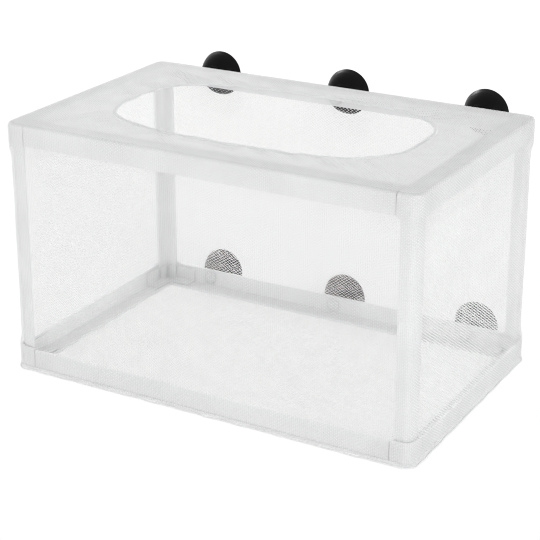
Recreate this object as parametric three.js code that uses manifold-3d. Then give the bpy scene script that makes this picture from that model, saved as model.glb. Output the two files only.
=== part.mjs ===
// Net breeding box for an aquarium. A knock-down frame of angle strips and three-way corner
// connectors stands inside a bag of fine net with an elastic mouth, and six suction cups
// hold it to the glass.
// Millimetres. X runs along the length, Y from the front to the back and Z up. The origin is
// level with the lowest cup, under the middle of the whole object.

import * as THREE from "three";
import { mergeVertices } from "three/addons/utils/BufferGeometryUtils.js";
import Module from "manifold-3d";

// Frame, over the outer faces of the plastic
const frameLength = 258;
const frameDepth = 161;
const frameHeight = 150;
const cornerRadius = 6.7;
const fitGap = 0.3;

// Angle strips
const stripWall = 1.6;
const railFlange = 12;
const uprightFlange = 9.5;
const edgeRadius = 2;
const edgeSteps = 4;

// Corner connectors
const connectorWall = 1.6;
const tongueWall = 1.3;
const tongueMargin = 1.5;
const tongueLength = 12;
const pocketWall = 1.3;
const pocketHeight = 9.4;

// Net
const netThickness = 0.6;
const selvedge = 2.4;
// Share of a gap's pitch that is thread, as in the fine net
const threadShare = 0.29;
const netColumns = 11;
const netRows = 6;
const netRanks = 6;
const topSpokes = 30;
const seamRadius = 1;
const seamSides = 6;
const seamSteps = 3;

// Mouth, within the band of net that covers the top rails
const bandEnd = 35.5;
const bandSide = 26.5;
const mouthPower = 3;
const mouthSteps = 48;
const hemRadius = 1.6;
const hemBore = 1.15;
const hemArcSteps = 5;
const hemSlotAngle = Math.PI / 7;
const elasticRadius = 0.65;
const elasticSides = 5;
const mouthBorder = 2;

// Suction cups
const cupTongueClear = 8.3;
const cupRadius = 14.2;
const cupReach = 15.5;
const cupSides = 20;
const rimLand = 1.4;
const rimEdge = 0.6;
const collarRadius = 4.8;
const collarLength = 1.8;
const neckRadius = 3.6;
const neckLength = 1.4;
const hollowDepth = 7.2;
// Outside of the bell from its neck to its rim: share of the radius, share of the depth
const bellShares = [[0.36, 0.08], [0.64, 0.3], [0.84, 0.6], [0.95, 0.86]];
// Inside of the bell from its rim to its axis: share of the mouth's radius, share of the depth
const hollowShares = [[0.89, 0.36], [0.7, 0.68], [0.42, 0.9], [0, 1]];

// Pegs that hold the cups, each with a round head inside the rail and a pin in the cup's neck
const pegSides = 16;
const stemRadius = 2.9;
const drillSides = 24;
const headRadius = 4.2;
const headTipRadius = 2.2;
const headLip = 0.9;
const headLength = 2.6;
const pinRadius = 1.9;
const pinLength = 3.4;

// Sizes that follow from those above
const uprightInset = connectorWall + fitGap;
const uprightRadius = cornerRadius - uprightInset;
const railInset = stripWall + fitGap;
const pocketInset = uprightInset + stripWall + fitGap;
const connectorLeg = uprightInset + uprightFlange + fitGap + tongueWall;
const railEnd = Math.max(connectorLeg, railFlange) + fitGap;
const tongueFlange = railFlange - railInset - tongueMargin;
const mouthLength = frameLength - 2 * bandEnd;
const mouthWidth = frameDepth - 2 * bandSide;
const netReach = fitGap + netThickness;
const seamOffset = (seamRadius + fitGap) / Math.SQRT2;
const seamClear = seamRadius + fitGap - seamOffset;
const cupInset = Math.max((stripWall + railFlange) / 2, stripWall + headRadius + fitGap);
const cupSpacing = frameLength / 2 - connectorLeg - tongueLength - cupTongueClear - headRadius;
const headFace = -stripWall - fitGap;
const collarFace = netReach + fitGap;
const pinEnd = collarFace + pinLength;
const cupDrop = cupRadius - cupInset;
const frontReach = frameDepth / 2 + seamOffset + seamRadius;
const backReach = frameDepth / 2 + cupReach;

// Finishes
const plastic = { color: 0xf2f3f3, roughness: 0.42, metalness: 0 };
const mesh = { color: 0xf6f7f7, roughness: 0.85, metalness: 0 };
const cord = { color: 0xeeeeec, roughness: 0.9, metalness: 0 };
const rubber = { color: 0x0d0d0e, roughness: 0.22, metalness: 0 };

const wasm = await Module();
wasm.setup();

// Keeps only the corners and faces of a shape, with shared corners merged.
function bare(geometry) {
  const copy = geometry.clone();
  copy.deleteAttribute("normal");
  copy.deleteAttribute("uv");
  return mergeVertices(copy);
}

function toSolid(geometry) {
  const merged = bare(geometry);
  return new wasm.Manifold(new wasm.Mesh({
    numProp: 3,
    vertProperties: new Float32Array(merged.attributes.position.array),
    triVerts: new Uint32Array(merged.index.array),
  }));
}

function fromSolid(solid) {
  const result = solid.getMesh();
  const geometry = new THREE.BufferGeometry();
  geometry.setAttribute("position", new THREE.BufferAttribute(result.vertProperties, 3));
  geometry.setIndex(new THREE.BufferAttribute(result.triVerts, 1));
  return geometry;
}

// A block between two opposite corners.
function block(low, high) {
  const size = new THREE.Vector3().subVectors(high, low);
  const middle = new THREE.Vector3().addVectors(low, high).multiplyScalar(1 / 2);
  return new THREE.BoxGeometry(size.x, size.y, size.z).translate(middle.x, middle.y, middle.z);
}

const at = (x, y, z) => new THREE.Vector3(x, y, z);

// Turns a shape drawn in XY and drawn out along Z so that it is drawn out along another axis.
const turns = {
  x: new THREE.Matrix4().makeBasis(at(0, 1, 0), at(0, 0, 1), at(1, 0, 0)),
  y: new THREE.Matrix4().makeBasis(at(0, 0, 1), at(1, 0, 0), at(0, 1, 0)),
  z: new THREE.Matrix4(),
};

function drawn(shape, length, axis) {
  const options = { depth: length, bevelEnabled: false, curveSegments: edgeSteps };
  return new THREE.ExtrudeGeometry(shape, options).applyMatrix4(turns[axis]);
}

// Mirrors a shape drawn for the left, front, bottom corner into another corner of the box.
function forCorner(geometry, sideX, sideY, sideZ) {
  const copy = bare(geometry).applyMatrix4(new THREE.Matrix4().makeScale(-sideX, -sideY, -sideZ));
  if (sideX * sideY * sideZ > 0) {
    const index = copy.index.array;
    for (let i = 0; i < index.length; i += 3) {
      [index[i + 1], index[i + 2]] = [index[i + 2], index[i + 1]];
    }
  }
  return copy;
}

function addPiece(parent, name, geometry, finish, x, y, z) {
  const flat = { ...finish, flatShading: true };
  const piece = new THREE.Mesh(geometry, new THREE.MeshStandardMaterial(flat));
  piece.name = name;
  piece.position.set(x, y, z);
  parent.add(piece);
}

// The section of an angle strip of even wall, its rounded outer edge at the origin.
function angleShape(flange, wall, radius) {
  const inner = Math.max(radius - wall, 0);
  const shape = new THREE.Shape();
  shape.moveTo(radius, 0);
  shape.lineTo(flange, 0);
  shape.lineTo(flange, wall);
  shape.lineTo(wall + inner, wall);
  if (inner > 0) {
    shape.absarc(wall + inner, wall + inner, inner, Math.PI * 3 / 2, Math.PI, true);
  }
  shape.lineTo(wall, flange);
  shape.lineTo(0, flange);
  shape.lineTo(0, radius);
  shape.absarc(radius, radius, radius, Math.PI, Math.PI * 3 / 2, false);
  return shape;
}

// A square with one rounded corner at the origin.
function roundedSquare(side, radius) {
  const shape = new THREE.Shape();
  shape.moveTo(radius, 0);
  shape.lineTo(side, 0);
  shape.lineTo(side, side);
  shape.lineTo(0, side);
  shape.lineTo(0, radius);
  shape.absarc(radius, radius, radius, Math.PI, Math.PI * 3 / 2, false);
  return shape;
}

// A rail runs between two connectors. The back ones are drilled for the cups' pegs.
function railGeometry(span, axis, drillPlaces) {
  const length = span - 2 * railEnd;
  const strip = drawn(angleShape(railFlange, stripWall, edgeRadius), length, axis);
  strip.applyMatrix4(new THREE.Matrix4().makeTranslation(
    axis === "x" ? -length / 2 : 0,
    axis === "y" ? -length / 2 : 0,
    0,
  ));
  if (drillPlaces.length === 0) {
    return strip;
  }
  const drillLength = stripWall + 2 * fitGap;
  let solid = toSolid(strip);
  for (const place of drillPlaces) {
    const radius = stemRadius + fitGap;
    const drill = new THREE.CylinderGeometry(radius, radius, drillLength, drillSides);
    drill.translate(place, stripWall / 2, cupInset);
    solid = solid.subtract(toSolid(drill));
  }
  return fromSolid(solid);
}

// Outer shell with three rounded edges, the widest of them upright, two ribs that hold the
// upright against it, and a tongue for each of the two rails.
function connectorGeometry() {
  const edge = roundedSquare(connectorLeg, edgeRadius);
  const plan = roundedSquare(connectorLeg, cornerRadius);
  const innerPlan = roundedSquare(connectorLeg, cornerRadius - connectorWall);
  const hollow = drawn(innerPlan, connectorLeg, "z");
  hollow.translate(connectorWall, connectorWall, connectorWall);
  const root = connectorLeg - tongueWall;
  const sunk = connectorWall / 2;
  const tongueEnd = connectorLeg + tongueLength;
  const tongueTop = railInset + tongueFlange;
  const tongueBack = railInset + tongueWall;
  const pocketEnd = uprightInset + uprightFlange;
  const pocketBack = pocketInset + pocketWall;
  const pocketTop = connectorWall + pocketHeight;
  let solid = toSolid(drawn(edge, connectorLeg, "x"))
    .intersect(toSolid(drawn(edge, connectorLeg, "y")))
    .intersect(toSolid(drawn(plan, connectorLeg, "z")))
    .subtract(toSolid(hollow));
  const added = [
    block(at(pocketInset, cornerRadius, sunk), at(pocketBack, pocketEnd, pocketTop)),
    block(at(cornerRadius, pocketInset, sunk), at(pocketEnd, pocketBack, pocketTop)),
    block(at(root, sunk, sunk), at(connectorLeg, tongueBack, tongueTop)),
    block(at(root, sunk, sunk), at(connectorLeg, tongueTop, tongueBack)),
    block(at(root, railInset, railInset), at(tongueEnd, tongueBack, tongueTop)),
    block(at(root, railInset, railInset), at(tongueEnd, tongueTop, tongueBack)),
    block(at(sunk, root, sunk), at(tongueBack, connectorLeg, tongueTop)),
    block(at(sunk, root, sunk), at(tongueTop, connectorLeg, tongueBack)),
    block(at(railInset, root, railInset), at(tongueBack, tongueEnd, tongueTop)),
    block(at(railInset, root, railInset), at(tongueTop, tongueEnd, tongueBack)),
  ];
  for (const part of added) {
    solid = solid.add(toSolid(part));
  }
  return fromSolid(solid);
}

function polygon(corners) {
  const shape = new THREE.Shape();
  corners.forEach(([x, y], corner) => (corner === 0 ? shape.moveTo(x, y) : shape.lineTo(x, y)));
  return shape;
}

const rectangle = (left, low, right, high) => (
  polygon([[left, low], [right, low], [right, high], [left, high]])
);

function roundedRectangle(halfLength, halfWidth, radius) {
  const x = halfLength - radius;
  const y = halfWidth - radius;
  const shape = new THREE.Shape();
  shape.absarc(x, y, radius, 0, Math.PI / 2, false);
  shape.absarc(-x, y, radius, Math.PI / 2, Math.PI, false);
  shape.absarc(-x, -y, radius, Math.PI, Math.PI * 3 / 2, false);
  shape.absarc(x, -y, radius, Math.PI * 3 / 2, Math.PI * 2, false);
  return shape;
}

// A shape drawn out far enough to cut through a sheet of net that lies on z = 0.
const through = (shape) => (
  toSolid(drawn(shape, netThickness + 2 * fitGap, "z").translate(0, 0, -fitGap))
);

// A flat sheet of net, with gaps cut through it inside its border.
function netSheet(outline, border, gaps, axis) {
  const open = through(border);
  let solid = toSolid(drawn(outline, netThickness, "z"));
  for (const gap of gaps) {
    solid = solid.subtract(through(gap).intersect(open));
  }
  return fromSolid(solid).applyMatrix4(turns[axis]);
}

// Rows and columns of gaps with a selvedge on all sides, centred on the origin.
function gapGrid(width, height, columns, rows) {
  const gaps = [];
  const pitchX = width / (columns + threadShare);
  const pitchY = height / (rows + threadShare);
  const threadX = pitchX * threadShare;
  const threadY = pitchY * threadShare;
  for (let column = 0; column < columns; column += 1) {
    for (let row = 0; row < rows; row += 1) {
      const left = -width / 2 + threadX + column * pitchX;
      const low = -height / 2 + threadY + row * pitchY;
      gaps.push(rectangle(left, low, left + pitchX - threadX, low + pitchY - threadY));
    }
  }
  return gaps;
}

// A long wall of the bag. It goes round both corners of the frame, which curve about y = 0
// here, and it is parted round the pegs that go through it.
function longWall(height, stems) {
  const reach = frameLength / 2 - cornerRadius;
  const outer = cornerRadius + netReach;
  const inner = cornerRadius + fitGap;
  const shape = new THREE.Shape();
  shape.absarc(-reach, 0, outer, Math.PI, Math.PI * 3 / 2, false);
  shape.absarc(reach, 0, outer, Math.PI * 3 / 2, Math.PI * 2, false);
  shape.absarc(reach, 0, inner, Math.PI * 2, Math.PI * 3 / 2, true);
  shape.absarc(-reach, 0, inner, Math.PI * 3 / 2, Math.PI, true);
  const holes = stems.map(([z, x]) => {
    const hole = new THREE.Shape();
    return hole.absarc(z, x, stemRadius + fitGap, 0, Math.PI * 2, false);
  });
  let solid = toSolid(drawn(shape, height, "z").translate(0, 0, -height / 2));
  for (const gap of [...gapGrid(height, 2 * reach, netRows, netColumns), ...holes]) {
    const cutter = drawn(gap, netThickness + 2 * fitGap, "y").translate(0, -outer - fitGap, 0);
    solid = solid.subtract(toSolid(cutter));
  }
  return fromSolid(solid);
}

// A point of the mouth's outline, a rounded oblong, at an angle round its middle.
function mouthPoint(angle, outward) {
  const across = Math.abs(Math.cos(angle)) / (mouthLength / 2 + outward);
  const along = Math.abs(Math.sin(angle)) / (mouthWidth / 2 + outward);
  const radius = (across ** mouthPower + along ** mouthPower) ** (-1 / mouthPower);
  return new THREE.Vector2(Math.cos(angle), Math.sin(angle)).multiplyScalar(radius);
}

function mouthPath(outward) {
  const points = [];
  for (let step = 0; step < mouthSteps; step += 1) {
    points.push(mouthPoint(step / mouthSteps * Math.PI * 2, outward));
  }
  return points;
}

// A point of a rectangle's edge, at a share of the way round it from the middle of its right side.
function edgePoint(share, halfLength, halfWidth) {
  const point = new THREE.Vector2(halfLength, 0);
  let left = share * 4 * (halfLength + halfWidth);
  for (const [x, y, length] of [
    [0, 1, halfWidth], [-1, 0, 2 * halfLength], [0, -1, 2 * halfWidth],
    [1, 0, 2 * halfLength], [0, 1, halfWidth],
  ]) {
    const part = Math.min(left, length);
    point.add(new THREE.Vector2(x, y).multiplyScalar(part));
    left -= part;
  }
  return point;
}

// A gap from the mouth's border out to the selvedge, between two points of the selvedge's edge.
function spokeGap(first, second, halfLength, halfWidth) {
  const [start, end] = [first, second].map((point) => (
    mouthPoint(point.angle(), hemRadius + fitGap + mouthBorder)
  ));
  const onEnd = (point) => Math.abs(point.x) >= halfLength - fitGap;
  const corner = new THREE.Vector2(
    Math.sign(first.x + second.x) * halfLength,
    Math.sign(first.y + second.y) * halfWidth,
  );
  const outer = onEnd(first) !== onEnd(second) ? [first, corner, second] : [first, second];
  return polygon([start, ...outer, end].map((point) => point.toArray()));
}

// The top is a ring of net, gathered in to the mouth by strands that run like spokes.
function topNet() {
  const halfLength = frameLength / 2 + netReach;
  const halfWidth = frameDepth / 2 + netReach;
  const gapLength = halfLength - selvedge;
  const gapWidth = halfWidth - selvedge;
  const radius = cornerRadius + netReach;
  const gaps = [new THREE.Shape(mouthPath(hemRadius + fitGap))];
  const edgeAt = (spokes) => edgePoint(spokes / topSpokes % 1, gapLength, gapWidth);
  for (let spoke = 1 / 2; spoke < topSpokes; spoke += 1) {
    const first = edgeAt(spoke + threadShare / 2);
    const second = edgeAt(spoke + 1 - threadShare / 2);
    gaps.push(spokeGap(first, second, gapLength, gapWidth));
  }
  const outline = roundedRectangle(halfLength, halfWidth, radius);
  return netSheet(outline, roundedRectangle(gapLength, gapWidth, radius - selvedge), gaps, "z");
}

// Carries a closed section round a closed level path that runs counter-clockwise.
// Section points are [outward, up].
function loopGeometry(path, section) {
  const corners = [];
  const faces = [];
  const count = path.length;
  const sides = section.length;
  path.forEach((point, step) => {
    const before = point.clone().sub(path[(step + count - 1) % count]).normalize();
    const after = path[(step + 1) % count].clone().sub(point).normalize();
    const along = before.add(after).normalize();
    const mitre = 1 / along.dot(after);
    for (const [outward, up] of section) {
      const spread = outward * mitre;
      corners.push(point.x + along.y * spread, point.y - along.x * spread, up);
    }
    const next = (step + 1) % count;
    for (let side = 0; side < sides; side += 1) {
      const other = (side + 1) % sides;
      const a = step * sides + side;
      const b = next * sides + side;
      const c = next * sides + other;
      const d = step * sides + other;
      faces.push(a, b, c, a, c, d);
    }
  });
  const geometry = new THREE.BufferGeometry();
  geometry.setAttribute("position", new THREE.Float32BufferAttribute(corners, 3));
  geometry.setIndex(faces);
  return geometry;
}

function arcPoints(radius, fromAngle, toAngle, steps) {
  const points = [];
  for (let step = 0; step <= steps; step += 1) {
    const angle = fromAngle + step / steps * (toAngle - fromAngle);
    points.push([Math.cos(angle) * radius, Math.sin(angle) * radius]);
  }
  return points;
}

function roundSection(radius, sides) {
  return arcPoints(radius, 0, Math.PI * 2, sides).slice(0, -1);
}

// The hem is folded round the elastic and open on the side where the net leaves it.
function hemSection() {
  const end = Math.PI * 2 - hemSlotAngle;
  return [
    ...arcPoints(hemRadius, hemSlotAngle, end, hemArcSteps),
    ...arcPoints(hemBore, end, hemSlotAngle, hemArcSteps),
  ];
}

// Turns an outline, given as radius and distance behind the frame's back face, about its axis.
function revolved(outline, sides) {
  const points = outline.map(([radius, distance]) => new THREE.Vector2(radius, distance));
  return new THREE.LatheGeometry(points, sides);
}

function pegGeometry() {
  const stemEnd = collarFace - fitGap;
  return revolved([
    [0, headFace - headLength],
    [headTipRadius, headFace - headLength],
    [headRadius, headFace - headLip],
    [headRadius, headFace],
    [stemRadius, headFace],
    [stemRadius, stemEnd],
    [pinRadius, stemEnd],
    [pinRadius, pinEnd],
    [0, pinEnd],
  ], pegSides);
}

// The cup goes from the bottom of the bore for its pin to the middle of its hollow.
function cupGeometry() {
  const neckEnd = collarFace + collarLength + neckLength;
  const bellDepth = cupReach - rimEdge - neckEnd;
  const landRadius = cupRadius - rimLand;
  const outline = [
    [0, pinEnd + fitGap],
    [pinRadius + fitGap, pinEnd + fitGap],
    [pinRadius + fitGap, collarFace],
    [collarRadius, collarFace],
    [collarRadius, collarFace + collarLength],
    [neckRadius, collarFace + collarLength],
    [neckRadius, neckEnd],
  ];
  for (const [radiusShare, depthShare] of bellShares) {
    const radius = neckRadius + radiusShare * (cupRadius - neckRadius);
    outline.push([radius, neckEnd + depthShare * bellDepth]);
  }
  outline.push([cupRadius, cupReach - rimEdge]);
  outline.push([cupRadius, cupReach]);
  outline.push([landRadius, cupReach]);
  for (const [radiusShare, depthShare] of hollowShares) {
    outline.push([radiusShare * landRadius, cupReach - depthShare * hollowDepth]);
  }
  return revolved(outline, cupSides);
}

// The frame stands on its bottom rails at z = 0 of this group, lifted by the cups' overhang.
const box = new THREE.Group();
box.position.set(0, (frontReach - backReach) / 2, cupDrop);

const sidesX = [["left", -1], ["right", 1]];
const sidesY = [["front", -1], ["back", 1]];
const sidesZ = [["bottom", -1], ["top", 1]];
const levelOf = (sideZ) => (sideZ > 0 ? frameHeight : 0);
const cupPlaces = [["left", -cupSpacing], ["middle", 0], ["right", cupSpacing]];
const cupLevels = [["bottom", cupInset], ["top", frameHeight - cupInset]];

function addFrame(parent) {
  const uprightHeight = frameHeight - 2 * uprightInset;
  const upright = drawn(angleShape(uprightFlange, stripWall, uprightRadius), uprightHeight, "z");
  const connector = connectorGeometry();
  const drills = cupPlaces.map(([, place]) => place);
  for (const [levelName, sideZ] of sidesZ) {
    for (const [faceName, sideY] of sidesY) {
      const rail = railGeometry(frameLength, "x", sideY > 0 ? drills : []);
      const name = `rail_${faceName}_${levelName}`;
      const y = sideY * frameDepth / 2;
      addPiece(parent, name, forCorner(rail, -1, sideY, sideZ), plastic, 0, y, levelOf(sideZ));
    }
    for (const [faceName, sideX] of sidesX) {
      const rail = railGeometry(frameDepth, "y", []);
      const name = `rail_${faceName}_${levelName}`;
      const x = sideX * frameLength / 2;
      addPiece(parent, name, forCorner(rail, sideX, -1, sideZ), plastic, x, 0, levelOf(sideZ));
    }
  }
  for (const [xName, sideX] of sidesX) {
    for (const [yName, sideY] of sidesY) {
      const x = sideX * frameLength / 2;
      const y = sideY * frameDepth / 2;
      const uprightX = sideX * (frameLength / 2 - uprightInset);
      const uprightY = sideY * (frameDepth / 2 - uprightInset);
      const stood = forCorner(upright, sideX, sideY, -1);
      addPiece(parent, `upright_${yName}_${xName}`, stood, plastic, uprightX, uprightY, uprightInset);
      for (const [zName, sideZ] of sidesZ) {
        const fitted = forCorner(connector, sideX, sideY, sideZ);
        const name = `connector_${yName}_${xName}_${zName}`;
        addPiece(parent, name, fitted, plastic, x, y, levelOf(sideZ));
      }
    }
  }
}

function addNet(parent) {
  const wallHeight = frameHeight - seamClear;
  const wallMiddle = (frameHeight + seamClear) / 2;
  const wallBend = frameDepth / 2 - cornerRadius;
  const stems = cupLevels.flatMap(([, z]) => cupPlaces.map(([, x]) => [z - wallMiddle, -x]));
  const frontWall = longWall(wallHeight, []);
  const backWall = longWall(wallHeight, stems).rotateZ(Math.PI);
  addPiece(parent, "net_front", frontWall, mesh, 0, -wallBend, wallMiddle);
  addPiece(parent, "net_back", backWall, mesh, 0, wallBend, wallMiddle);
  const endHalf = wallBend - fitGap;
  const endOutline = rectangle(-endHalf, -wallHeight / 2, endHalf, wallHeight / 2);
  const endGaps = gapGrid(2 * endHalf, wallHeight, netRanks, netRows);
  const endWall = netSheet(endOutline, endOutline, endGaps, "x");
  addPiece(parent, "net_left", endWall, mesh, -frameLength / 2 - netReach, 0, wallMiddle);
  addPiece(parent, "net_right", endWall, mesh, frameLength / 2 + fitGap, 0, wallMiddle);
  const floorHalf = frameLength / 2 - seamClear;
  const floorWidth = frameDepth / 2 - seamClear;
  const floorRadius = cornerRadius - seamClear;
  const floor = netSheet(
    roundedRectangle(floorHalf, floorWidth, floorRadius),
    roundedRectangle(floorHalf - selvedge, floorWidth - selvedge, floorRadius - selvedge),
    gapGrid(2 * floorHalf, 2 * floorWidth, netColumns, netRanks),
    "z",
  );
  addPiece(parent, "net_floor", floor, mesh, 0, 0, -netReach);
  addPiece(parent, "net_top", topNet(), mesh, 0, 0, frameHeight + fitGap);
  const seamPath = roundedRectangle(
    frameLength / 2 + seamOffset, frameDepth / 2 + seamOffset, cornerRadius + seamOffset,
  ).getPoints(seamSteps);
  const seam = loopGeometry(seamPath, roundSection(seamRadius, seamSides));
  addPiece(parent, "floor_seam", seam, mesh, 0, 0, -seamOffset);
  const mouthLevel = frameHeight + fitGap + netThickness / 2;
  const hem = loopGeometry(mouthPath(0), hemSection());
  addPiece(parent, "mouth_hem", hem, mesh, 0, 0, mouthLevel);
  const elastic = loopGeometry(mouthPath(0), roundSection(elasticRadius, elasticSides));
  addPiece(parent, "mouth_elastic", elastic, cord, 0, 0, mouthLevel);
}

function addCups(parent) {
  const cup = cupGeometry();
  const peg = pegGeometry();
  for (const [levelName, z] of cupLevels) {
    for (const [placeName, place] of cupPlaces) {
      const y = frameDepth / 2;
      addPiece(parent, `cup_${levelName}_${placeName}`, cup, rubber, place, y, z);
      addPiece(parent, `peg_${levelName}_${placeName}`, peg, plastic, place, y, z);
    }
  }
}

addFrame(box);
addNet(box);
addCups(box);

const group = new THREE.Group();
group.add(box);

export default group;
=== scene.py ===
import math

import bpy
import numpy as np
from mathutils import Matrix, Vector


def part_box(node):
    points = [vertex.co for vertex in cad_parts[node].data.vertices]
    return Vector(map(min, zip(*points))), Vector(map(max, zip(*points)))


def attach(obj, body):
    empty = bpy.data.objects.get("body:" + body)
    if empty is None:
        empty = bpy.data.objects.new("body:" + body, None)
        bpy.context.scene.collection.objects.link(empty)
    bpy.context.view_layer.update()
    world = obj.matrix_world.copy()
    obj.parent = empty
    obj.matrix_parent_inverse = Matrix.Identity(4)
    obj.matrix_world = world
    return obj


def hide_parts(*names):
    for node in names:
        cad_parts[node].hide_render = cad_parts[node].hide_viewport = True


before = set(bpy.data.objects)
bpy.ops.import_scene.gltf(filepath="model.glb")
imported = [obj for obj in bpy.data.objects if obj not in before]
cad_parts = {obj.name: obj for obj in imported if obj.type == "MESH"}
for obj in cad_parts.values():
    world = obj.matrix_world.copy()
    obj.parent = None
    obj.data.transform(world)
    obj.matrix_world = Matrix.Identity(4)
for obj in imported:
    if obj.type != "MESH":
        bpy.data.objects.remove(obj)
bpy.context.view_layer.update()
print("frame loaded:", len(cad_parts), "nodes")

# A breeding box for an aquarium: a bag of fine white net over a frame of plastic strips, with
# an elastic mouth on top and six suction cups behind. Metres, in the frame's own axes.

# Places that the rest is measured from
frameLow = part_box("connector_front_left_bottom")[0]
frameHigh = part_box("connector_back_right_top")[1]
middle = (frameLow + frameHigh) / 2
halfLength = (frameHigh.x - frameLow.x) / 2
halfDepth = (frameHigh.y - frameLow.y) / 2
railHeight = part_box("rail_front_bottom")[1].z - frameLow.z
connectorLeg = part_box("connector_front_left_bottom")[1].z - frameLow.z
fullTurn = 2 * math.pi


# Numbers that wander smoothly between -1 and 1 round a closed loop; places are shares of it.
# More knots make shorter waves, and another seed gives others like them.
def wander(places, knotCount, seed):
    knots = np.random.default_rng(seed).uniform(-1, 1, knotCount)
    along = np.asarray(places) % 1 * knotCount
    first = np.floor(along).astype(int)
    share = along - first
    share = share * share * (3 - 2 * share)
    return knots[first % knotCount] * (1 - share) + knots[(first + 1) % knotCount] * share


# The same over a surface; across goes from 0 to 1
def wanderOver(places, across, knotCount, rowCount, seed):
    row = np.clip(across, 0, 1) * rowCount
    first = np.minimum(np.floor(row).astype(int), rowCount - 1)
    share = row - first
    share = share * share * (3 - 2 * share)
    rows = np.stack([wander(places, knotCount, seed + line) for line in range(rowCount + 1)])
    index = np.indices(np.shape(places))
    return rows[(first, *index)] * (1 - share) + rows[(first + 1, *index)] * share


def easeBetween(low, high, values):
    share = np.clip((values - low) / (high - low), 0, 1)
    return share * share * (3 - 2 * share)


# Closed outlines: each row is x, y and the outward normal's x, y
def roundedOutline(halfX, halfY, radius, arcSteps=24):
    rows = []
    for turn, (sideX, sideY) in enumerate(((1, 1), (-1, 1), (-1, -1), (1, -1))):
        for step in range(arcSteps + 1):
            angle = (turn + step / arcSteps) * math.pi / 2
            normal = (math.cos(angle), math.sin(angle))
            x = sideX * (halfX - radius) + normal[0] * radius
            y = sideY * (halfY - radius) + normal[1] * radius
            rows.append((x, y, *normal))
    rows = np.array(rows)
    start = np.array([[halfX, 0, 1, 0]])  # every outline starts at the middle of the right side
    return np.vstack([start, rows])


mouth = {
    "power": 3,  # 2 is an ellipse, more is squarer
    "steps": 720,
}
hemLow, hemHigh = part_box("mouth_hem")
mouth["rise"] = (hemLow.z + hemHigh.z) / 2
mouth["hemRadius"] = (hemHigh.z - hemLow.z) / 2
mouth["halfLength"] = (hemHigh.x - hemLow.x) / 2 - mouth["hemRadius"]
mouth["halfWidth"] = (hemHigh.y - hemLow.y) / 2 - mouth["hemRadius"]


def mouthOutline(outward):
    angles = np.arange(mouth["steps"]) / mouth["steps"] * fullTurn
    across = np.abs(np.cos(angles)) / (mouth["halfLength"] + outward)
    along = np.abs(np.sin(angles)) / (mouth["halfWidth"] + outward)
    radius = (across ** mouth["power"] + along ** mouth["power"]) ** (-1 / mouth["power"])
    points = np.column_stack([np.cos(angles) * radius, np.sin(angles) * radius])
    forward = np.roll(points, -1, axis=0) - np.roll(points, 1, axis=0)
    forward /= np.linalg.norm(forward, axis=1)[:, None]
    return np.column_stack([points, forward[:, 1], -forward[:, 0]])


# Length of an outline up to each of its points, and round to the first one again
def runLengths(outline):
    closed = np.vstack([outline, outline[:1]])
    steps = np.linalg.norm(np.diff(closed[:, :2], axis=0), axis=1)
    return closed, np.concatenate([[0], np.cumsum(steps)])


# Rows of an outline at shares of its length
def alongLoop(outline, shares):
    closed, length = runLengths(outline)
    at = np.asarray(shares) % 1 * length[-1]
    return np.column_stack([np.interp(at, length, closed[:, column]) for column in range(4)])


def loopLength(outline):
    return float(runLengths(outline)[1][-1])


# A piece from a grid of points[row, column, xyz], joined round along its columns and, for a
# tube, along its rows. weave[row, column] is kept for each face's corner, one column more
# than the points have, so that a pattern runs on where the grid closes. nextWeave is the
# same for the faces' far edges, where the pattern changes along a row.
def gridPiece(name, points, material, roundRows=False, weave=None, nextWeave=None, dropped=None):
    rowCount, columnCount, _ = points.shape
    rows = np.arange(rowCount if roundRows else rowCount - 1)
    row, column = np.meshgrid(rows, np.arange(columnCount), indexing="ij")
    row, column = row.ravel(), column.ravel()
    if dropped is not None:
        kept = ~dropped[row, column]
        row, column = row[kept], column[kept]
    nextRow, nextColumn = (row + 1) % rowCount, (column + 1) % columnCount
    corners = np.column_stack([
        row * columnCount + column, row * columnCount + nextColumn,
        nextRow * columnCount + nextColumn, nextRow * columnCount + column,
    ])
    mesh = bpy.data.meshes.new(name)
    mesh.from_pydata(points.reshape(-1, 3).tolist(), [], corners.tolist())
    mesh.polygons.foreach_set("use_smooth", np.ones(len(corners), bool))
    if weave is not None:
        far = weave[1:] if nextWeave is None else nextWeave
        pattern = np.stack([
            weave[row, column], weave[row, column + 1], far[row, column + 1], far[row, column],
        ], axis=1)
        attribute = mesh.attributes.new("weave", "FLOAT_VECTOR", "CORNER")
        attribute.data.foreach_set("vector", pattern.astype(np.float32).ravel())
    mesh.materials.append(material)
    mesh.update()
    piece = bpy.data.objects.new(name, mesh)
    bpy.context.scene.collection.objects.link(piece)
    return piece


# Materials

def newMaterial(name):
    material = bpy.data.materials.new(name)
    material.use_nodes = True
    return material, material.node_tree.nodes["Principled BSDF"]


# Adds a node; inputs are values or the outputs that feed them
def addNode(material, kind, inputs=None, **settings):
    node = material.node_tree.nodes.new(kind)
    for key, value in settings.items():
        setattr(node, key, value)
    for socket, value in (inputs or {}).items():
        if isinstance(value, bpy.types.NodeSocket):
            material.node_tree.links.new(value, node.inputs[socket])
        else:
            node.inputs[socket].default_value = value
    return node


def join(material, output, shader, socket):
    material.node_tree.links.new(output, shader.inputs[socket])


noise = {
    "low": 0.3,    # nearly all of a noise's values lie between these two
    "high": 0.7,
    "detail": 3,
}


# Output that wanders between two values with a noise over the object's own coordinates
def mottled(material, scale, low, high):
    place = addNode(material, "ShaderNodeTexCoord")
    texture = addNode(material, "ShaderNodeTexNoise", {
        "Vector": place.outputs["Object"], "Scale": scale, "Detail": noise["detail"],
    })
    return addNode(material, "ShaderNodeMapRange", {
        "Value": texture.outputs["Fac"], "From Min": noise["low"], "From Max": noise["high"],
        "To Min": low, "To Max": high,
    }).outputs["Result"]


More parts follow.
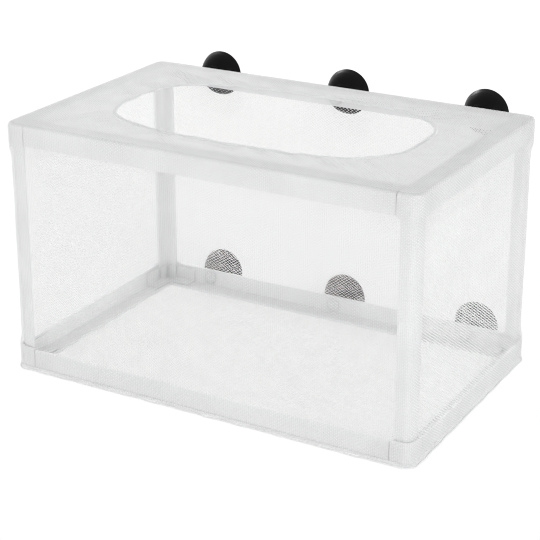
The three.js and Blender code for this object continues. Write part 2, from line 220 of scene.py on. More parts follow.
def mottledColour(material, scale, dark, light):
    share = mottled(material, scale, 0, 1)
    mix = addNode(material, "ShaderNodeMix", {
        0: share, 6: (*dark, 1), 7: (*light, 1),
    }, data_type="RGBA")
    return mix.outputs[2]


# Grain of a given scale in the surface
def addGrain(material, shader, scale, strength, depth):
    bump = addNode(material, "ShaderNodeBump", {
        "Height": mottled(material, scale, 0, 1), "Strength": strength, "Distance": depth,
    })
    join(material, bump.outputs["Normal"], shader, "Normal")


net = {
    "across": 0.00245,      # the pattern's repeats along and up the cloth
    "up": 0.00168,
    "hole": 0.455,          # half a hole's width, as a share of the threads' spacing
    "foldedHole": 0.5,      # what is left of that where the net lies double
    "holeEdge": 0.03,
    "squareness": 3,        # of the holes: 2 is round
    "unevenness": 0.10,     # how far holes stray from their rows
    "looseness": 0.03,      # how much wider or narrower they are in places
    "loosePatches": 55,     # scales of patches are counts in a metre
    "closing": 0.75,        # how much of a hole's width gathered net loses at most
    "dark": (0.91, 0.912, 0.914),
    "light": (0.95, 0.951, 0.952),
    "colourPatches": 90,
    "roughness": 0.62,
    "sheen": 0.12,
    "translucence": 0.52,   # share of the light on a thread that goes through it
    "threadMiddle": 0.62,   # how far from a hole's middle threads are highest
    "threadHeight": 0.00018,
    "threadRelief": 0.6,
}


# Fine knitted net: threads cross on the slant and leave small round-cornered diamonds. The
# weave attribute gives metres along and up the cloth, and how far it is gathered, 0 to 1.
def netMaterial(name, holeShare=1.0):
    material, shader = newMaterial(name)
    weave = addNode(material, "ShaderNodeAttribute", attribute_name="weave")
    grid = addNode(material, "ShaderNodeMapping", {
        "Vector": weave.outputs["Vector"], "Rotation": (0, 0, math.pi / 4),
        "Scale": (math.sqrt(2) / net["across"], math.sqrt(2) / net["up"], 0),
    })
    holes = addNode(material, "ShaderNodeTexVoronoi", {
        "Vector": grid.outputs["Vector"], "Scale": 1,
        "Randomness": net["unevenness"], "Exponent": net["squareness"],
    }, voronoi_dimensions="2D", distance="MINKOWSKI")
    gathered = addNode(material, "ShaderNodeSeparateXYZ", {"Vector": weave.outputs["Vector"]})
    loose = mottled(material, net["loosePatches"], -net["looseness"], net["looseness"])
    closed = addNode(material, "ShaderNodeMath", {
        0: gathered.outputs["Z"], 1: net["closing"] * net["hole"], 2: loose,
    }, operation="MULTIPLY_ADD")
    reach = addNode(material, "ShaderNodeMath", {
        0: holes.outputs["Distance"], 1: closed.outputs["Value"],
    }, operation="ADD")
    hole = net["hole"] * holeShare
    threads = addNode(material, "ShaderNodeMapRange", {
        "Value": reach.outputs["Value"],
        "From Min": hole - net["holeEdge"], "From Max": hole + net["holeEdge"],
    }, interpolation_type="SMOOTHSTEP")
    rounded = addNode(material, "ShaderNodeMapRange", {
        "Value": reach.outputs["Value"], "From Min": hole, "From Max": net["threadMiddle"],
    })
    bump = addNode(material, "ShaderNodeBump", {
        "Height": rounded.outputs["Result"],
        "Strength": net["threadRelief"], "Distance": net["threadHeight"],
    })
    colour = mottledColour(material, net["colourPatches"], net["dark"], net["light"])
    join(material, colour, shader, "Base Color")
    join(material, bump.outputs["Normal"], shader, "Normal")
    shader.inputs["Roughness"].default_value = net["roughness"]
    shader.inputs["Sheen Weight"].default_value = net["sheen"]
    backlit = addNode(material, "ShaderNodeBsdfTranslucent", {"Color": colour})
    nylon = addNode(material, "ShaderNodeMixShader", {
        0: net["translucence"], 1: shader.outputs[0], 2: backlit.outputs[0],
    })
    gap = addNode(material, "ShaderNodeBsdfTransparent")
    cloth = addNode(material, "ShaderNodeMixShader", {
        0: threads.outputs["Result"], 1: gap.outputs[0], 2: nylon.outputs[0],
    })
    join(material, cloth.outputs[0], material.node_tree.nodes["Material Output"], "Surface")
    return material


plastic = {
    "dark": (0.78, 0.782, 0.784),
    "light": (0.83, 0.832, 0.834),
    "colourPatches": 30,
    "roughness": (0.36, 0.5),
    "glossPatches": 160,
    "milkiness": 0.5,       # light goes a little way into the thin strips
    "milkDepth": 0.003,
    "grain": 1400,
    "grainStrength": 0.5,
    "grainDepth": 0.00003,
    "pegPaintedShade": 0.88,       # painted shade: the pegs' plastic is darkened to match the rail's shade
}


# shade darkens both colours; the pegs use it as painted shade
def plasticMaterial(name, shade=1):
    material, shader = newMaterial(name)
    dark, light = [[shade * part for part in plastic[key]] for key in ("dark", "light")]
    colour = mottledColour(material, plastic["colourPatches"], dark, light)
    join(material, colour, shader, "Base Color")
    gloss = mottled(material, plastic["glossPatches"], *plastic["roughness"])
    join(material, gloss, shader, "Roughness")
    shader.inputs["Subsurface Weight"].default_value = plastic["milkiness"]
    shader.inputs["Subsurface Scale"].default_value = plastic["milkDepth"]
    shader.inputs["Subsurface Radius"].default_value = (1, 1, 1)
    addGrain(material, shader, plastic["grain"], plastic["grainStrength"], plastic["grainDepth"])
    return material


rubber = {
    "dark": (0.0010, 0.0010, 0.0011),
    "light": (0.0022, 0.0022, 0.0023),
    "colourPatches": 120,
    "roughness": (0.28, 0.38),
    "glossPatches": 240,
    "specular": 0.09,
    "grain": 900,
    "grainStrength": 0.3,
    "grainDepth": 0.00002,
}


def rubberMaterial():
    material, shader = newMaterial("blackRubber")
    colour = mottledColour(material, rubber["colourPatches"], rubber["dark"], rubber["light"])
    join(material, colour, shader, "Base Color")
    gloss = mottled(material, rubber["glossPatches"], *rubber["roughness"])
    join(material, gloss, shader, "Roughness")
    addGrain(material, shader, rubber["grain"], rubber["grainStrength"], rubber["grainDepth"])
    shader.inputs["Specular IOR Level"].default_value = rubber["specular"]
    return material


thread = {
    "dark": (0.84, 0.845, 0.85),
    "light": (0.91, 0.915, 0.92),
    "colourPatches": 700,
    "roughness": 0.75,
    "fibre": 1800,
    "fibreStrength": 0.7,
    "fibreDepth": 0.00012,
}


def threadMaterial(name):
    material, shader = newMaterial(name)
    colour = mottledColour(material, thread["colourPatches"], thread["dark"], thread["light"])
    join(material, colour, shader, "Base Color")
    addGrain(material, shader, thread["fibre"], thread["fibreStrength"], thread["fibreDepth"])
    shader.inputs["Roughness"].default_value = thread["roughness"]
    return material


wallNet = netMaterial("fineNet")
hemNet = netMaterial("foldedNet", holeShare=net["foldedHole"])
whitePlastic = plasticMaterial("whitePlastic")
# The pegs' plastic is darker: painted shade, so that their heads look as shaded as the rail
pegShadedPlastic = plasticMaterial("pegShadedPlastic", plastic["pegPaintedShade"])
blackRubber = rubberMaterial()
seamThread = threadMaterial("seamThread")
elasticThread = threadMaterial("elasticThread")
print("materials made")


# Frame: the strips and connectors keep their shapes and get their plastic
for name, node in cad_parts.items():
    if name.startswith(("rail_", "upright_", "connector_")):
        for slotIndex in range(len(node.material_slots)):
            node.material_slots[slotIndex].material = whitePlastic
print("frame finished in plastic")


# Bag: one sheet of net from the seam round the floor, up the walls, over the rim and in to
# the mouth
bag = {
    "columns": 560,
    "standOff": 0.0005,        # from the plastic to the net
    "cornerRadius": 0.0067,    # of the frame's upright corners
    "rimRadius": 0.0026,
    "rimRows": 7,
    "bandRows": 17,            # rows over each rail, and as many again past it
    "wallRows": 22,
    "ringRows": 36,
    "seamLap": 0.0004,         # how far the walls go down past their CAD pieces
    "uprightPull": 0.0013,     # the uprights stand back from the connectors
    "uprightReach": 0.045,
    "bow": 0.0009,             # the free net draws in between the rails
    "stepHeight": 0.007,       # the net comes down off a connector over this height
    "wallWaves": 0.00022,
    "wallWaveKnots": (44, 6, 11),    # knots round, knots up, seed
    "bottomTuck": 0.0007,
    "tuckStart": 0.0012,       # above the frame's underside
    "tuckEnd": 0.0008,         # below it
    "pleats": 0.0007,          # fine pleats at the mouth
    "pleatKnots": (176, 3),    # knots round, seed
    "pleatGrowth": 4,
    "folds": 0.0022,
    "foldKnots": (62, 5),
    "foldStart": 0.2,          # share of the way in to the mouth
    "swells": 0.0006,
    "swellKnots": (30, 5, 23),
    "swellGrowth": 0.8,
    "creaseKnots": (150, 41),
    "creaseSink": 0.4,         # creases lie this share of their height below the net
    "creaseGrowth": 1.3,
    "skew": 0.012,             # folds lean round the mouth
    "lipCalm": 0.75,           # the elastic pulls them flat
    "calmStart": 0.86,
    "railEase": (0.7, 1.2),    # the ring leaves the rails between these shares of their width
    "railLift": 0.5,           # over a rail folds only rise, and by this share
    "lipLap": 0.8,             # the ring ends at this share of the hem's radius
    "rowBow": 0.011,           # rows of holes sag this much from a long wall's middle to its ends
    "ringClosing": 0.77,       # the ring's net is drawn closer than the walls'
    "lipClosingGrowth": 3,
    "streaks": 0.38,           # and is denser along its folds
    "streakEase": (0.5, 1.5),
    "endClosing": 0.30,        # the two short walls' net is drawn closer too
    "endEase": (0.7, 0.95),    # where a wall counts as short, by its normal's share along X
    "stemClear": 0.0036,
}
# Places where folds gather at the mouth: share of the way round, width, strength
foldPlaces = ((0.885, 0.035, 1.5), (0.12, 0.03, 0.9), (0.395, 0.05, 0.8), (0.60, 0.04, 0.5))

bagOutline = roundedOutline(
    halfLength + bag["standOff"], halfDepth + bag["standOff"],
    bag["cornerRadius"] + bag["standOff"],
)
bagLength = loopLength(bagOutline)
bagWeave = round(bagLength / net["across"]) * net["across"]  # a whole number of repeats


def wallHeights():
    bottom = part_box("net_front")[0].z - bag["seamLap"]
    rimStart = frameHigh.z + bag["standOff"] - bag["rimRadius"]
    band = 2 * railHeight
    low = np.linspace(bottom, bottom + band, bag["bandRows"] + 1)
    inner = np.linspace(bottom + band, rimStart - band, bag["wallRows"] + 1)
    high = np.linspace(rimStart - band, rimStart, bag["bandRows"] + 1)
    return np.concatenate([low, inner[1:], high[1:]])


# How far the wall stands in from the rails' faces, at shares round the bag and a height
def wallInset(shares, height, corner):
    up = height - frameLow.z
    nearest = min(up, frameHigh.z - height)
    freeOfRails = easeBetween(railHeight, railHeight + bag["stepHeight"], nearest)
    freeOfConnectors = easeBetween(connectorLeg, connectorLeg + bag["stepHeight"], nearest)
    nearUpright = np.exp(-(np.maximum(corner - connectorLeg, 0) / bag["uprightReach"]) ** 2)
    span = math.sin(math.pi * min(max(up / (frameHigh.z - frameLow.z), 0), 1))
    pull = bag["uprightPull"] * nearUpright * freeOfConnectors
    pull = pull + bag["bow"] * (1 - nearUpright) * freeOfRails * span
    level = np.full(shares.shape, span)
    waves = wanderOver(shares, level, *bag["wallWaveKnots"])
    tucked = easeBetween(frameLow.z + bag["tuckStart"], frameLow.z - bag["tuckEnd"], height)
    return pull + waves * bag["wallWaves"] * freeOfRails - bag["bottomTuck"] * tucked


# Rise of the gathered ring, at shares round it and a share of the way in to the mouth
def ringRise(shares, inward):
    leaned = shares + bag["skew"] * inward
    level = np.full(shares.shape, inward)
    pleats = 1 - 2 * np.abs(wander(shares, *bag["pleatKnots"]))
    folds = wander(leaned, *bag["foldKnots"])
    swells = wanderOver(leaned, level, *bag["swellKnots"])
    rise = bag["pleats"] * pleats * inward ** bag["pleatGrowth"]
    rise = rise + bag["folds"] * folds * easeBetween(bag["foldStart"], 1, inward) * inward
    rise = rise + bag["swells"] * swells * math.sin(math.pi * inward ** bag["swellGrowth"])
    twiceLeaned = shares + 2 * bag["skew"] * inward
    creases = np.abs(wander(twiceLeaned, *bag["creaseKnots"]))
    creases = bag["folds"] * (creases - bag["creaseSink"]) * inward ** bag["creaseGrowth"]
    for place, width, strength in foldPlaces:
        away = (shares - place + 0.5) % 1 - 0.5
        rise = rise + strength * np.exp(-(away / width) ** 2) * creases
    return rise * (1 - bag["lipCalm"] * easeBetween(bag["calmStart"], 1, inward))


def makeBag():
    shares = np.arange(bag["columns"]) / bag["columns"]
    x, y, normalX, normalY = alongLoop(bagOutline, shares).T
    fromCornerX = halfLength + bag["standOff"] - np.abs(x)
    fromCornerY = halfDepth + bag["standOff"] - np.abs(y)
    corner = np.maximum(fromCornerX, fromCornerY)  # how far along a wall from its corner
    rows = []
    weave = []
    closingRound = bag["endClosing"] * easeBetween(*bag["endEase"], np.abs(normalX))
    sag = bag["rowBow"] * (x / halfLength) ** 2

    # The pattern's places are closed by the first column again, a whole bag further on
    def addWeave(along, up, closing, turn):
        cloth = np.column_stack([along, up, np.maximum(closing, closingRound)])
        weave.append(np.vstack([cloth, cloth[:1] + (turn, 0, 0)]))

    def addRow(inset, height, run):
        rows.append(np.column_stack([
            middle.x + x - normalX * inset, middle.y + y - normalY * inset,
            np.broadcast_to(height, x.shape),
        ]))
        addWeave(shares * bagWeave, run - sag, np.zeros(len(x)), bagWeave)

    heights = wallHeights()
    wallRun = heights[-1] - heights[0]
    for height in heights:
        addRow(wallInset(shares, height, corner), height, height - heights[0])
    for step in range(1, bag["rimRows"] + 1):
        angle = step / bag["rimRows"] * math.pi / 2
        inset = bag["rimRadius"] * (1 - math.cos(angle))
        height = heights[-1] + bag["rimRadius"] * math.sin(angle)
        addRow(inset, height, wallRun + bag["rimRadius"] * angle)
    edge = rows[-1]
    wallRows = len(rows)
    lip = alongLoop(mouthOutline(bag["lipLap"] * mouth["hemRadius"]), shares)
    lip = np.column_stack([
        middle.x + lip[:, 0], middle.y + lip[:, 1], np.full(len(lip), mouth["rise"]),
    ])
    railShare = railHeight / np.linalg.norm(lip - edge, axis=1).mean()
    for step in range(bag["ringRows"] + 1):
        inward = step / bag["ringRows"]
        row = edge * (1 - inward) + lip * inward
        rise = ringRise(shares, inward)
        offRail = easeBetween(*(share * railShare for share in bag["railEase"]), inward)
        row[:, 2] += np.abs(rise) * bag["railLift"] * (1 - offRail) + rise * offRail
        if step > 0:
            rows.append(row)
        streaked = easeBetween(*(share * railShare for share in bag["streakEase"]), inward)
        closing = bag["ringClosing"] + bag["streaks"] * rise / bag["folds"] * streaked
        closing = closing + (1 - bag["ringClosing"]) * inward ** bag["lipClosingGrowth"]
        addWeave(row[:, 0], row[:, 1], np.clip(closing, 0, 1), 0)  # the ring is cut flat
    points = np.stack(rows)
    weave = np.stack(weave)
    nearWeave = np.delete(weave, wallRows - 1, axis=0)  # on the ring's first faces, of the ring
    farWeave = np.delete(weave, wallRows, axis=0)[1:]
    # The stems of the cups go through holes in the back wall
    dropped = np.zeros(points.shape[:2], bool)
    for name in cupNames:
        low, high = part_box(name)
        stem = (low + high) / 2
        away = np.hypot(points[:, :, 0] - stem.x, points[:, :, 2] - stem.z)
        dropped |= (away < bag["stemClear"]) & (points[:, :, 1] > middle.y)
    return gridPiece(
        "net_bag", points, wallNet, weave=nearWeave, nextWeave=farWeave, dropped=dropped,
    )


cupNames = [name for name in sorted(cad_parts) if name.startswith("cup_")]
netBag = makeBag()
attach(netBag, "box")
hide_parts("net_front", "net_back", "net_left", "net_right", "net_top")
print("bag made:", len(netBag.data.polygons), "faces")


# Floor: a flat panel of the same net, sewn to the walls all round
floorPanel = {
    "cell": 0.0022,
    "lap": 0.0008,         # past the CAD piece's edges, into the seam
    "sag": 0.0007,
    "waves": 0.00025,
    "waveKnots": (20, 9, 61),
    "waveSpan": 2.2,       # over 2, so that the two ends don't wander alike
}


def makeFloorNet():
    low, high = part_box("net_floor")
    halfX = (high.x - low.x) / 2 + floorPanel["lap"]
    halfY = (high.y - low.y) / 2 + floorPanel["lap"]
    radius = bag["cornerRadius"]
    xs = np.linspace(-halfX, halfX, round(2 * halfX / floorPanel["cell"]))
    ys = np.linspace(-halfY, halfY, round(2 * halfY / floorPanel["cell"]))
    y, x = np.meshgrid(ys, xs, indexing="ij")
    # The grid's corners are drawn in to the rounded outline
    overX = np.maximum(np.abs(x) - halfX + radius, 0)
    overY = np.maximum(np.abs(y) - halfY + radius, 0)
    over = np.hypot(overX, overY)
    outside = (overX > 0) & (overY > 0) & (over > radius)
    pull = np.where(outside, radius / np.maximum(over, 1e-9), 1)
    x = np.where(overX > 0, np.sign(x) * (halfX - radius + overX * pull), x)
    y = np.where(overY > 0, np.sign(y) * (halfY - radius + overY * pull), y)
    hang = (1 - (x / halfX) ** 2) * (1 - (y / halfY) ** 2)
    waves = wanderOver(
        (x / halfX + 1) / floorPanel["waveSpan"], (y / halfY + 1) / 2, *floorPanel["waveKnots"],
    )
    z = (low.z + high.z) / 2 - floorPanel["sag"] * hang + floorPanel["waves"] * waves * hang ** 0.5
    points = np.stack([middle.x + x, middle.y + y, z], axis=-1)
    dropped = np.ones(points.shape[:2], bool)  # the panel doesn't close round
    dropped[:-1, :-1] = False
    weave = np.stack([x, y, np.zeros_like(x)], axis=-1)
    weave = np.concatenate([weave, weave[:, -1:]], axis=1)
    return gridPiece("net_floor_panel", points, wallNet, weave=weave, dropped=dropped)


floorNet = makeFloorNet()
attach(floorNet, "box")
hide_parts("net_floor")
print("floor panel made")


# A tube round a closed outline; section(shares, angle) gives outward and up offsets
def loopTube(name, outline, columns, sides, section, material, rise, weaveScale=None):
    shares = np.arange(columns) / columns
    x, y, normalX, normalY = alongLoop(outline, shares).T
    rows = []
    for side in range(sides):
        outward, up = section(shares, side / sides * fullTurn)
        rows.append(np.column_stack([
            middle.x + x + normalX * outward, middle.y + y + normalY * outward, rise + up,
        ]))
    weave = None
    if weaveScale is not None:
        along, around = weaveScale
        up, run = np.meshgrid(
            np.arange(sides + 1) / sides * around, np.arange(columns + 1) / columns * along,
            indexing="ij",
        )
        weave = np.stack([run, up, np.zeros_like(run)], axis=-1)
    return gridPiece(name, np.stack(rows), material, roundRows=True, weave=weave)


# Seam: overlocked, so its thread winds round the edge of both panels
seam = {
    "stitch": 0.0021,
    "ridge": 0.14,
    "stray": 0.00022,
    "outKnots": (90, 71),
    "upKnots": (110, 73),
    "columns": 2000,
    "sides": 10,
    "thickness": 0.72,     # of the plain cord in CAD, because the seam is pressed flat
    "inset": 1.8,          # radii from that cord's outer edge in to the seam's middle
}
seamLow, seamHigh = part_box("floor_seam")
seam["radius"] = seam["thickness"] / 2 * (seamHigh.z - seamLow.z)
seam["outward"] = seamHigh.x - middle.x - halfLength - seam["inset"] * seam["radius"]
seamOutline = roundedOutline(
    halfLength + seam["outward"], halfDepth + seam["outward"],
    bag["cornerRadius"] + seam["outward"],
)
seam["stitches"] = round(loopLength(seamOutline) / seam["stitch"])


def seamSection(shares, angle):
    ridge = 1 + seam["ridge"] * np.cos(shares * seam["stitches"] * fullTurn + angle)
    radius = seam["radius"] * ridge * (1 - seam["ridge"])
    outward = radius * math.cos(angle) + seam["stray"] * wander(shares, *seam["outKnots"])
    return outward, radius * math.sin(angle) + seam["stray"] * wander(shares, *seam["upKnots"])


floorSeam = loopTube(
    "overlocked_seam", seamOutline, seam["columns"], seam["sides"], seamSection, seamThread,
    seamLow.z + seam["radius"],
)
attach(floorSeam, "box")
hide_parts("floor_seam")
print("seam made")


# Hem: net folded over the elastic and drawn up into small puckers, with one knot
hem = {
    "width": 0.75,            # of the hem's radius, outward
    "height": 0.55,           # of the hem's radius, upward
    "puckers": 190,
    "puckerSeed": 81,
    "puckerDepth": 0.20,
    "stitchDepth": 0.06,
    "stray": 0.00035,
    "outKnots": (70, 83),
    "upKnots": (84, 85),
    "knotPlace": 0.345,
    "knotWidth": 0.0035,
    "knotSize": 0.4,
    "columns": 1600,
    "sides": 14,
    "gather": 1.6,            # length of the net in the hem, as a share of the hem's
    "repeatsRound": 6,        # of the weave, round the hem
}


# How far the hem strays from the mouth's outline, outward and up
def hemStray(shares):
    outward = hem["stray"] * wander(shares, *hem["outKnots"])
    return outward, hem["stray"] * wander(shares, *hem["upKnots"])


def hemSection(shares, angle):
    drawn = np.abs(wander(shares, hem["puckers"], hem["puckerSeed"]))
    pucker = 1 - hem["puckerDepth"] * drawn
    pucker = pucker - hem["stitchDepth"] * np.cos(shares * 2 * hem["puckers"] * fullTurn + angle)
    knot = 1 + hem["knotSize"] * np.exp(-((shares - hem["knotPlace"]) / hem["knotWidth"]) ** 2)
    radius = mouth["hemRadius"] * pucker * knot
    strayOut, strayUp = hemStray(shares)
    outward = radius * hem["width"] * math.cos(angle) + strayOut
    return outward, radius * hem["height"] * math.sin(angle) + strayUp


mouthLength = loopLength(mouthOutline(0))
hemRepeats = round(hem["gather"] * mouthLength / net["across"])
mouthHem = loopTube(
    "gathered_hem", mouthOutline(0), hem["columns"], hem["sides"], hemSection, hemNet,
    mouth["rise"], weaveScale=(hemRepeats * net["across"], hem["repeatsRound"] * net["up"]),
)
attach(mouthHem, "box")
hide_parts("mouth_hem")

elastic = {
    "radius": 0.0006,
    "ridge": 0.06,
    "ridges": 150,
    "follow": 0.5,            # how far it follows the hem's straying
    "columns": 900,
    "sides": 8,
}


def elasticSection(shares, angle):
    ridge = 1 + elastic["ridge"] * np.cos(shares * elastic["ridges"] * fullTurn + angle)
    radius = elastic["radius"] * ridge
    strayOut, strayUp = hemStray(shares)
    outward = radius * math.cos(angle) + elastic["follow"] * strayOut
    return outward, radius * math.sin(angle) + elastic["follow"] * strayUp


mouthElastic = loopTube(
    "elastic_cord", mouthOutline(0), elastic["columns"], elastic["sides"], elasticSection,
    elasticThread, mouth["rise"],
)
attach(mouthElastic, "box")
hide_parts("mouth_elastic")
print("hem and elastic made")


# Suction cups, and the pegs that hold them: each has its head inside the rail. Distances are
# behind the frame's back face.
cup = {
    "sides": 96,
    "cornerRadius": 0.0004,
    "collarFace": 0.0012,
    "collarLength": 0.0018,
    "collarRadius": 0.0048,
    "boreRadius": 0.0022,
    "boreEnd": 0.0049,
    "neckRadius": 0.0036,
    "neckLength": 0.0014,
    "rimEdge": 0.0006,
    "rimLand": 0.0014,
    "hollowDepth": 0.0072,
    # Shares of the radius and of the depth
    "bell": ((0.36, 0.08), (0.64, 0.3), (0.84, 0.6), (0.95, 0.86)),
    "hollow": ((0.89, 0.36), (0.7, 0.68), (0.42, 0.9), (0, 1)),
    "curveSteps": 8,
}
cupLow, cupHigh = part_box("cup_top_middle")
cup["radius"] = (cupHigh.x - cupLow.x) / 2
cup["reach"] = cupHigh.y - frameHigh.y
pegLow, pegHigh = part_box("peg_top_middle")
peg = {
    "sides": 64,
    "cornerRadius": 0.0005,
    "headRadius": (pegHigh.x - pegLow.x) / 2,
    "headStart": pegLow.y - frameHigh.y,
    "headLip": 0.0009,
    "headFace": -0.0019,
    "tipRadius": 0.0022,
    "stemRadius": 0.0029,
    "stemEnd": 0.0009,
    "pinRadius": 0.0019,
    "pinEnd": pegHigh.y - frameHigh.y,
}


# A smooth line through points, ends kept
def smoothThrough(points, steps):
    points = np.array(points)
    padded = np.vstack([2 * points[0] - points[1], points, 2 * points[-1] - points[-2]])
    line = []
    for start in range(1, len(padded) - 2):
        before, first, second, after = padded[start - 1:start + 3]
        for step in range(steps):
            t = step / steps
            line.append(0.5 * (
                2 * first + (second - before) * t
                + (2 * before - 5 * first + 4 * second - after) * t ** 2
                + (3 * first - before - 3 * second + after) * t ** 3
            ))
    line.append(points[-1])
    return [tuple(point) for point in line]


# A line with its corners rounded off, each over less than half of its shorter side
def softened(points, radius, steps=4):
    points = [np.array(point) for point in points]
    line = [points[0]]
    for before, corner, after in zip(points, points[1:], points[2:]):
        back, ahead = before - corner, after - corner
        backLength, aheadLength = np.linalg.norm(back), np.linalg.norm(ahead)
        reach = min(radius, min(backLength, aheadLength) / 2.2)
        start = corner + back / backLength * reach
        end = corner + ahead / aheadLength * reach
        for step in range(steps + 1):
            t = step / steps
            line.append(start * (1 - t) ** 2 + corner * 2 * t * (1 - t) + end * t ** 2)
    line.append(points[-1])
    return line


# Radius and distance behind the frame's back face, from the bore to the hollow's middle
def cupProfile():
    collarEnd = cup["collarFace"] + cup["collarLength"]
    neckEnd = collarEnd + cup["neckLength"]
    rimStart = cup["reach"] - cup["rimEdge"]
    landRadius = cup["radius"] - cup["rimLand"]
    start = [
        (0, cup["boreEnd"]),
        (cup["boreRadius"], cup["boreEnd"]),
        (cup["boreRadius"], cup["collarFace"]),
        (cup["collarRadius"], cup["collarFace"]),
        (cup["collarRadius"], collarEnd),
        (cup["neckRadius"], collarEnd),
    ]
    bell = [(cup["neckRadius"], neckEnd)]
    for radiusShare, depthShare in cup["bell"]:
        radius = cup["neckRadius"] + radiusShare * (cup["radius"] - cup["neckRadius"])
        bell.append((radius, neckEnd + depthShare * (rimStart - neckEnd)))
    bell.append((cup["radius"], rimStart))
    hollow = [(landRadius, cup["reach"])]
    for radiusShare, depthShare in cup["hollow"]:
        distance = cup["reach"] - depthShare * cup["hollowDepth"]
        hollow.append((radiusShare * landRadius, distance))
    bell = smoothThrough(bell, cup["curveSteps"])
    hollow = smoothThrough(hollow, cup["curveSteps"])
    rim = [(cup["radius"], cup["reach"])]
    return softened(start + bell + rim + hollow, cup["cornerRadius"])


def pegProfile():
    return softened([
        (0, peg["headStart"]),
        (peg["tipRadius"], peg["headStart"]),
        (peg["headRadius"], peg["headFace"] - peg["headLip"]),
        (peg["headRadius"], peg["headFace"]),
        (peg["stemRadius"], peg["headFace"]),
        (peg["stemRadius"], peg["stemEnd"]),
        (peg["pinRadius"], peg["stemEnd"]),
        (peg["pinRadius"], peg["pinEnd"]),
        (0, peg["pinEnd"]),
    ], peg["cornerRadius"])


# A profile turned about the Y axis; it starts and ends on the axis
def turnedMesh(name, profile, sides, material):
    mesh = bpy.data.meshes.new(name)
    corners = [(0, profile[0][1], 0)]
    for radius, distance in profile[1:-1]:
        for side in range(sides):
            angle = side / sides * fullTurn
            corners.append((radius * math.cos(angle), distance, radius * math.sin(angle)))
    corners.append((0, profile[-1][1], 0))
    last = len(corners) - 1
    faces = []
    for side in range(sides):
        following = (side + 1) % sides
        faces.append((0, 1 + side, 1 + following))
        for ring in range(len(profile) - 3):
            near = 1 + ring * sides
            far = near + sides
            faces.append((near + side, far + side, far + following, near + following))
        end = last - sides
        faces.append((end + side, last, end + following))
    mesh.from_pydata(corners, [], faces)
    mesh.polygons.foreach_set("use_smooth", np.ones(len(faces), bool))
    mesh.materials.append(material)
    mesh.update()
    return mesh


def placeTurned(name, mesh, cupName, turn):
    low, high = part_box(cupName)
    piece = bpy.data.objects.new(name, mesh)
    bpy.context.scene.collection.objects.link(piece)
    piece.location = ((low.x + high.x) / 2, frameHigh.y, (low.z + high.z) / 2)
    piece.rotation_euler = (0, turn, 0)
    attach(piece, cupName + "_body")
    return piece


cupMesh = turnedMesh("suctionCup", cupProfile(), cup["sides"], blackRubber)
pegMesh = turnedMesh("cupPeg", pegProfile(), peg["sides"], pegShadedPlastic)
for number, name in enumerate(cupNames):
    turn = number * math.pi / 2  # so that neighbours don't show the same patches
    rubberCup = placeTurned("rubber_" + name, cupMesh.copy(), name, turn)
    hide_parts(name)
    pegName = name.replace("cup_", "peg_")
    whitePeg = placeTurned("white_" + pegName, pegMesh.copy(), name, turn)
    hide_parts(pegName)
print("cups and pegs made:", len(cupNames))


# Stage: a pale floor that the box rests on with its front edge and its lower cups
stage = {
    "size": 6,
    "colour": (0.96, 0.96, 0.96),
    "whiteShare": 0.85,
    "white": 1.07,        # a little over 1 makes up for the floor's own share
    "shadedThroughNet": 0.90,   # the stage's white seen through holes in the net, dimmed as painted shade
}
restFront = Vector((middle.x, frameLow.y - seam["outward"], seamLow.z))
restBack = Vector((middle.x, cupHigh.y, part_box("cup_bottom_middle")[0].z))


# Whether the stage is looked at, and its white there: paler outside the net than through it
# The dimmer white seen through the net is painted shade inside and behind the box
def lightPath(material):
    path = addNode(material, "ShaderNodeLightPath")
    seen = path.outputs["Is Camera Ray"]
    for other in ("Is Glossy Ray", "Is Transmission Ray"):
        either = addNode(material, "ShaderNodeMath", {
            0: seen, 1: path.outputs[other],
        }, operation="MAXIMUM")
        seen = either.outputs[0]
    white = addNode(material, "ShaderNodeMapRange", {
        "Value": path.outputs["Transparent Depth"],
        "To Min": stage["white"], "To Max": stage["shadedThroughNet"],
    })
    return seen, white.outputs["Result"]


def makeStage():
    slope = math.atan2(restFront.z - restBack.z, restBack.y - restFront.y)
    half = stage["size"] / 2
    fall = half * math.tan(slope)
    at = (restFront + restBack) / 2
    mesh = bpy.data.meshes.new("floor")
    mesh.from_pydata([
        (-half, at.y - half, at.z + fall), (half, at.y - half, at.z + fall),
        (half, at.y + half, at.z - fall), (-half, at.y + half, at.z - fall),
    ], [], [(0, 1, 2, 3)])
    floor = bpy.data.objects.new("floor", mesh)
    bpy.context.scene.collection.objects.link(floor)
    material = bpy.data.materials.new("paleFloor")
    material.use_nodes = True
    material.node_tree.nodes.clear()
    seen, strength = lightPath(material)
    plain = addNode(material, "ShaderNodeBsdfDiffuse", {"Color": (*stage["colour"], 1)})
    white = addNode(material, "ShaderNodeEmission", {
        "Color": (1, 1, 1, 1), "Strength": strength,
    })
    share = addNode(material, "ShaderNodeMath", {
        0: seen, 1: stage["whiteShare"],
    }, operation="MULTIPLY")
    mix = addNode(material, "ShaderNodeMixShader", {
        0: share.outputs[0], 1: plain.outputs[0], 2: white.outputs[0],
    })
    addNode(material, "ShaderNodeOutputMaterial", {"Surface": mix.outputs[0]})
    mesh.materials.append(material)


makeStage()

lights = {
    "above": 0.43,      # strength of the room's light from overhead and from the horizon
    "around": 1.40,
    "aboveFrom": 0.8,   # rise of a direction, from 0 to 1, from which it counts as overhead
    "lamps": (
        # name, place, width, height, watts
        ("leftBox", (-0.9, -1.15, 0.40), 0.2, 0.3, 2.0),
        ("rightBox", (1.2, -0.65, 0.42), 0.2, 0.3, 4.0),
        ("backBox", (-0.75, 0.95, 0.60), 0.3, 0.3, 3.0),
    ),
}


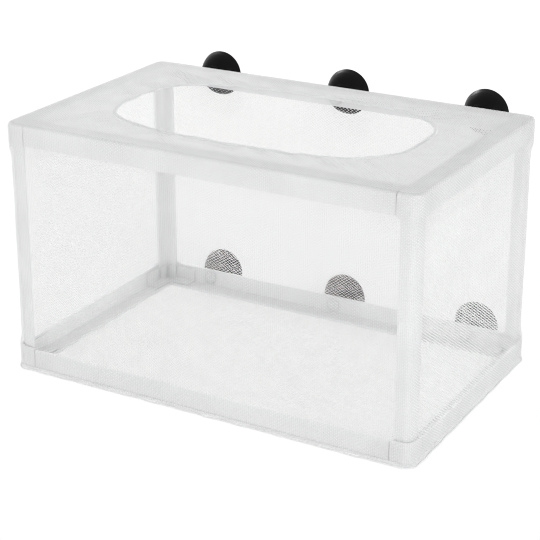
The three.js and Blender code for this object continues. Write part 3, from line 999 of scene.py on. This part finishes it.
def addLights():
    world = bpy.data.worlds.new("studio")
    bpy.context.scene.world = world
    world.use_nodes = True
    world.node_tree.nodes.clear()
    # whiteness is dimmer through the net: painted shade inside and behind the box
    seen, whiteness = lightPath(world)
    place = addNode(world, "ShaderNodeTexCoord")
    direction = addNode(world, "ShaderNodeSeparateXYZ", {"Vector": place.outputs["Generated"]})
    strength = addNode(world, "ShaderNodeMapRange", {
        "Value": direction.outputs["Z"], "From Min": 0, "From Max": lights["aboveFrom"],
        "To Min": lights["around"], "To Max": lights["above"],
    })
    ambient = addNode(world, "ShaderNodeBackground", {
        "Color": (1, 1, 1, 1), "Strength": strength.outputs["Result"],
    })
    white = addNode(world, "ShaderNodeBackground", {
        "Color": (1, 1, 1, 1), "Strength": whiteness,
    })
    mix = addNode(world, "ShaderNodeMixShader", {
        0: seen, 1: ambient.outputs[0], 2: white.outputs[0],
    })
    addNode(world, "ShaderNodeOutputWorld", {"Surface": mix.outputs[0]})
    for name, place, width, height, watts in lights["lamps"]:
        lamp = bpy.data.lights.new(name, "AREA")
        lamp.shape = "RECTANGLE"
        lamp.size = width
        lamp.size_y = height
        lamp.energy = watts
        holder = bpy.data.objects.new(name, lamp)
        holder.location = place
        holder.rotation_euler = (Vector(place) - middle).to_track_quat("Z", "Y").to_euler()
        bpy.context.scene.collection.objects.link(holder)


addLights()

view = {
    "place": (0.4322, -0.7719, 0.4190),
    "azimuth": 29.55,
    "elevation": 20.39,
    "lens": 107.3,
    "shiftUp": -0.080,
    "filterWidth": 1.0,  # the photograph is sharp enough to show the weave
}


def addCamera():
    azimuth, elevation = math.radians(view["azimuth"]), math.radians(view["elevation"])
    level = math.cos(elevation)
    back = Vector((
        math.sin(azimuth) * level, -math.cos(azimuth) * level, math.sin(elevation),
    ))
    camera = bpy.data.objects.new("camera", bpy.data.cameras.new("camera"))
    camera.data.lens = view["lens"]
    camera.data.shift_y = view["shiftUp"]
    camera.location = view["place"]
    camera.rotation_euler = back.to_track_quat("Z", "Y").to_euler()
    bpy.context.scene.collection.objects.link(camera)
    bpy.context.scene.camera = camera


addCamera()
bpy.context.scene.view_settings.view_transform = "Standard"
bpy.context.scene.cycles.filter_width = view["filterWidth"]
print("stage, lights and camera set")
